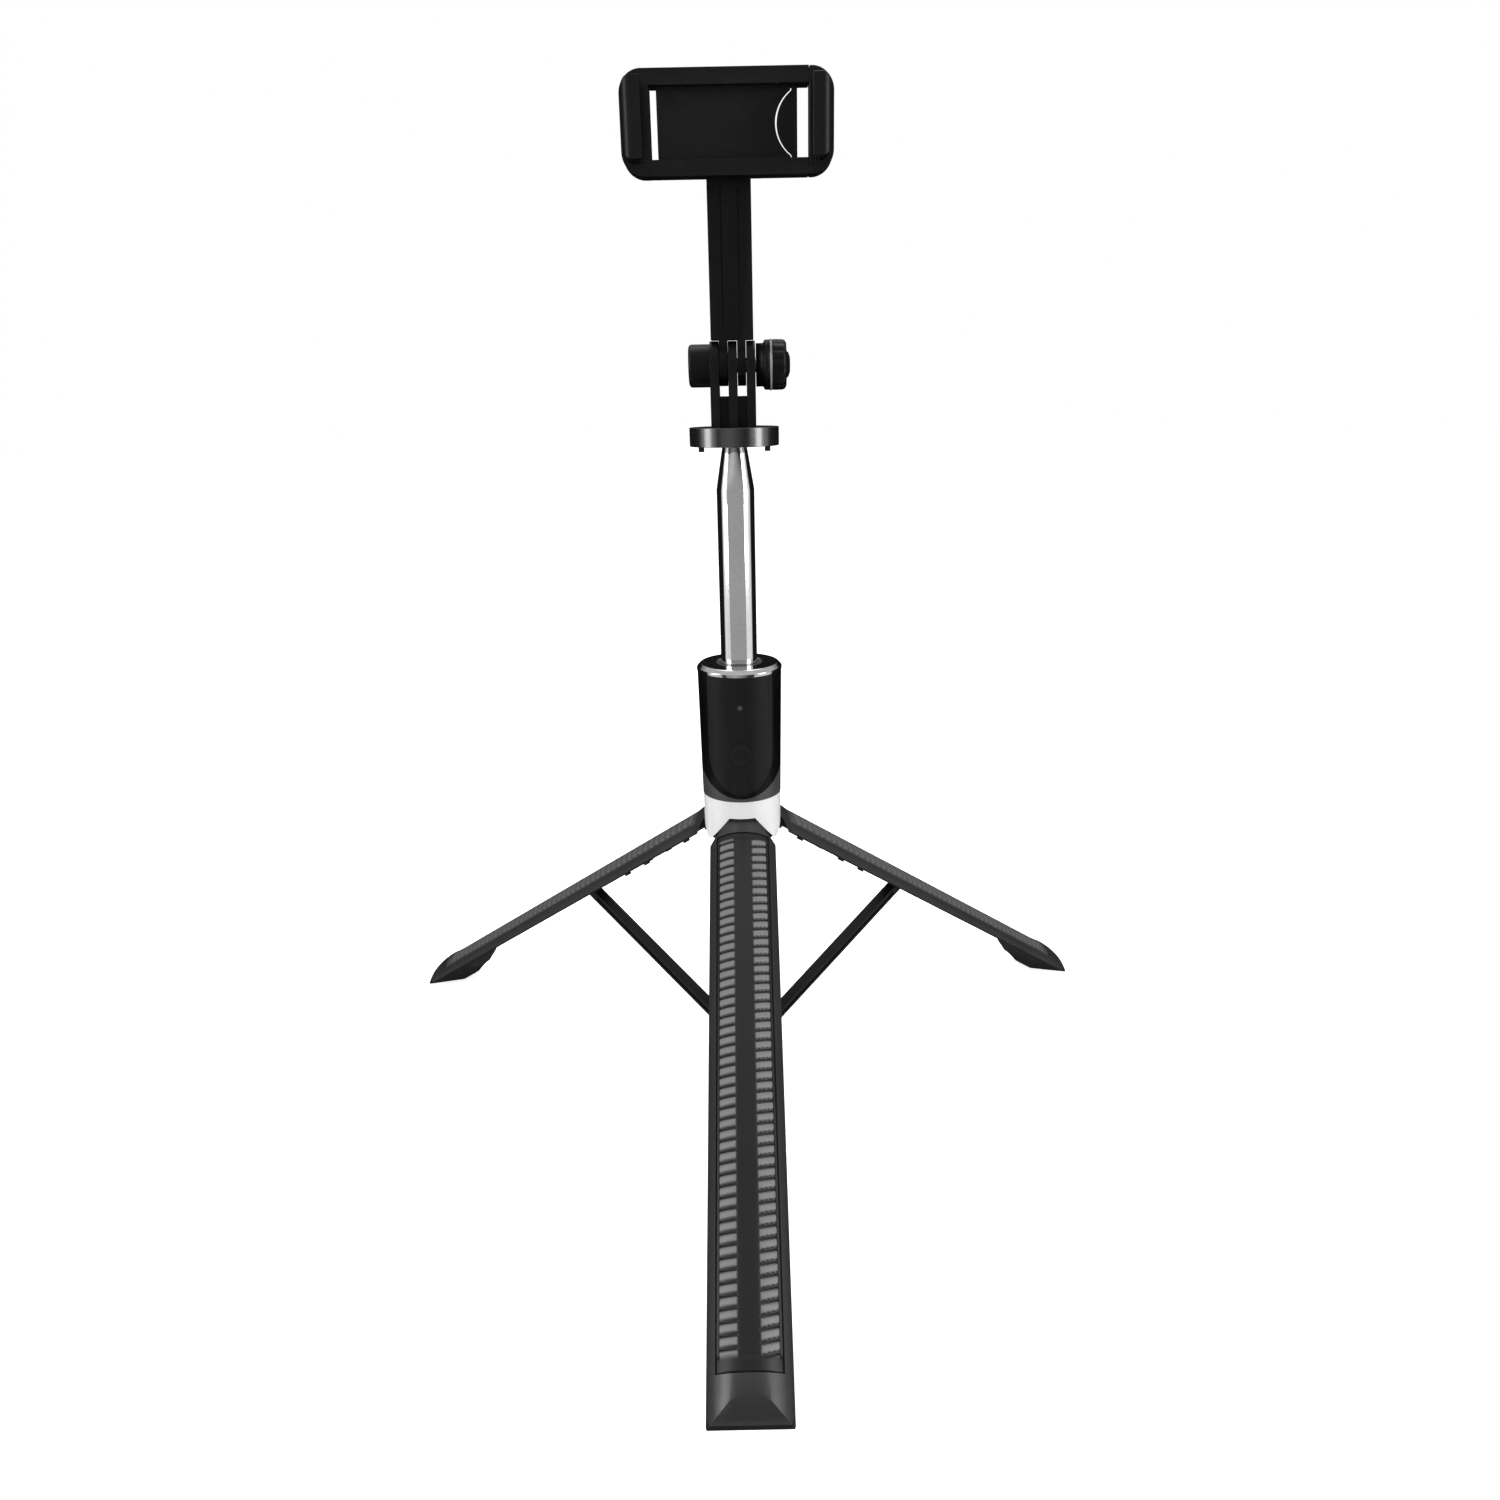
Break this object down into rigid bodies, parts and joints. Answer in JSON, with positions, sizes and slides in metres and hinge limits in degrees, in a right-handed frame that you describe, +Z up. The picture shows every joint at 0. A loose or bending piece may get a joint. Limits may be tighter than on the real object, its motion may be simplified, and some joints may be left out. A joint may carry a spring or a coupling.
{
  "type": "tripod selfie stick",
  "caption": "Selfie stick with fold-out tripod legs, telescopic pole, tilting spring-jaw phone holder and lift-out remote control.",
  "frame": {"origin": "on the floor plane under the pole's axis", "axes": "+Z up along the pole; -Y to the front, where the first leg and the remote control are; +X towards the tilt knob and the sliding jaw"},
  "size_m": [0.3084, 0.2671, 0.3654],
  "materials": {
    "black_plastic": "fine satin moulded plastic",
    "black_disc": "satin moulded plastic",
    "dark_plastic": "satin moulded plastic",
    "button_plastic": "soft satin",
    "lamp": "clear lamp window",
    "bright_ring": "polished",
    "inner_plastic": "plain",
    "white_plastic": "smooth white",
    "leg_plastic": "satin moulded plastic",
    "leg_grip": "ribbed",
    "leg_spine": "plain",
    "brace_plastic": "plain",
    "rubber_pad": "soft rubber",
    "bright_tube": "polished",
    "steel": "plain zinc steel",
    "circuit_board": "green board"
  },
  "bodies": {
    "head": {"head_housing": "dark_plastic", "head_top_ring": "bright_ring", "remote_cradle": "black_plastic", "collar": "white_plastic", "hinge_spider": "dark_plastic", "leg_hinge_pins": "steel", "tube_bushing": "inner_plastic", "head_screws": "steel"},
    "remote": {"remote_rear_shell": "dark_plastic", "remote_face": "dark_plastic", "led_window": "lamp", "remote_board": "circuit_board", "coin_cell": "steel"},
    "button": {"shutter_button": "button_plastic"},
    "front_leg": {"leg_shell_front": "leg_plastic", "foot_pad_front": "rubber_pad", "leg_grip_front": "leg_grip", "leg_spine_front": "leg_spine", "brace_pin_front": "steel"},
    "front_brace": {"brace_front": "brace_plastic"},
    "left_leg": {"leg_shell_left": "leg_plastic", "foot_pad_left": "rubber_pad", "leg_grip_left": "leg_grip", "leg_spine_left": "leg_spine", "brace_pin_left": "steel"},
    "left_brace": {"brace_left": "brace_plastic"},
    "right_leg": {"leg_shell_right": "leg_plastic", "foot_pad_right": "rubber_pad", "leg_grip_right": "leg_grip", "leg_spine_right": "leg_spine", "brace_pin_right": "steel"},
    "right_brace": {"brace_right": "brace_plastic"},
    "pole": {"pole_tube": "bright_tube", "pole_hub": "dark_plastic", "hub_pins": "steel", "hub_screw": "steel"},
    "section_1": {"pole_section_1": "bright_tube", "section_bush_1": "inner_plastic"},
    "section_2": {"pole_section_2": "bright_tube", "section_bush_2": "inner_plastic"},
    "section_3": {"pole_section_3": "bright_tube", "section_bush_3": "inner_plastic"},
    "section_4": {"pole_section_4": "bright_tube", "section_bush_4": "inner_plastic", "pole_ferrule": "bright_tube", "swivel_screw": "steel"},
    "fork": {"swivel_plate": "black_disc", "fork_bracket": "black_plastic", "tilt_nut": "steel", "plate_studs": "rubber_pad"},
    "knob": {"tilt_knob": "black_plastic", "tilt_bolt": "steel"},
    "arm": {"phone_arm": "black_plastic"},
    "holder": {"holder_body": "black_plastic", "holder_back_cover": "black_plastic", "jaw_pad_fixed": "rubber_pad", "holder_screw": "steel", "jaw_springs": "steel"},
    "jaw": {"jaw_slider": "black_plastic", "jaw_pad_moving": "rubber_pad"}
  },
  "joints": [
    {"name": "front_leg_fold", "type": "hinge", "parent": "head", "child": "front_leg", "pos_m": [0, -0.0104, 0.114], "axis": [1, 0, 0], "range_deg": [0, 55.4]},
    {"name": "left_leg_fold", "type": "hinge", "parent": "head", "child": "left_leg", "pos_m": [-0.00901, 0.0052, 0.114], "axis": [-0.5, -0.866, 0], "range_deg": [0, 55.4]},
    {"name": "right_leg_fold", "type": "hinge", "parent": "head", "child": "right_leg", "pos_m": [0.00901, 0.0052, 0.114], "axis": [-0.5, 0.866, 0], "range_deg": [0, 55.4]},
    {"name": "front_brace_swing", "type": "hinge", "parent": "front_leg", "child": "front_brace", "pos_m": [0, -0.07704, 0.0662], "axis": [1, 0, 0], "range_deg": [-110.81, 0]},
    {"name": "left_brace_swing", "type": "hinge", "parent": "left_leg", "child": "left_brace", "pos_m": [-0.06672, 0.03852, 0.0662], "axis": [-0.5, -0.866, 0], "range_deg": [-110.81, 0]},
    {"name": "right_brace_swing", "type": "hinge", "parent": "right_leg", "child": "right_brace", "pos_m": [0.06672, 0.03852, 0.0662], "axis": [-0.5, 0.866, 0], "range_deg": [-110.81, 0]},
    {"name": "pole_follow", "type": "hinge", "parent": "front_brace", "child": "pole", "pos_m": [0, -0.0104, 0.0184], "axis": [1, 0, 0], "range_deg": [0, 55.4]},
    {"name": "section_1_slide", "type": "slide", "parent": "pole", "child": "section_1", "axis": [0, 0, 1], "range_m": [0, 0.18]},
    {"name": "section_2_slide", "type": "slide", "parent": "section_1", "child": "section_2", "axis": [0, 0, 1], "range_m": [0, 0.18]},
    {"name": "section_3_slide", "type": "slide", "parent": "section_2", "child": "section_3", "axis": [0, 0, 1], "range_m": [0, 0.18]},
    {"name": "section_4_slide", "type": "slide", "parent": "section_3", "child": "section_4", "axis": [0, 0, 1], "range_m": [0, 0.18]},
    {"name": "plate_swivel", "type": "hinge", "parent": "section_4", "child": "fork", "pos_m": [0, 0, 0.252], "axis": [0, 0, 1], "continuous": true},
    {"name": "knob_turn", "type": "hinge", "parent": "fork", "child": "knob", "pos_m": [0, 0, 0.2785], "axis": [1, 0, 0], "continuous": true},
    {"name": "arm_tilt", "type": "hinge", "parent": "fork", "child": "arm", "pos_m": [0, 0, 0.2785], "axis": [-1, 0, 0], "range_deg": [-90, 90]},
    {"name": "holder_turn", "type": "hinge", "parent": "arm", "child": "holder", "pos_m": [0, 0, 0.3503], "axis": [0, -1, 0], "range_deg": [-90, 90]},
    {"name": "jaw_slide", "type": "slide", "parent": "holder", "child": "jaw", "axis": [1, 0, 0], "range_m": [0, 0.031], "stiffness_N_per_m": 80, "springref_m": -0.03, "deforming": ["jaw_springs"]},
    {"name": "remote_lift_out", "type": "slide", "parent": "head", "child": "remote", "axis": [0, -1, 0], "range_m": [0, 0.02]},
    {"name": "button_press", "type": "slide", "parent": "remote", "child": "button", "axis": [0, 1, 0], "range_m": [0, 0.0006], "stiffness_N_per_m": 600}
  ],
  "couplings": [
    {"joint": "left_leg_fold", "follows": "front_leg_fold", "ratio": 1},
    {"joint": "right_leg_fold", "follows": "front_leg_fold", "ratio": 1},
    {"joint": "front_brace_swing", "follows": "front_leg_fold", "ratio": -2},
    {"joint": "left_brace_swing", "follows": "front_leg_fold", "ratio": -2},
    {"joint": "right_brace_swing", "follows": "front_leg_fold", "ratio": -2},
    {"joint": "pole_follow", "follows": "front_leg_fold", "ratio": 1}
  ]
}
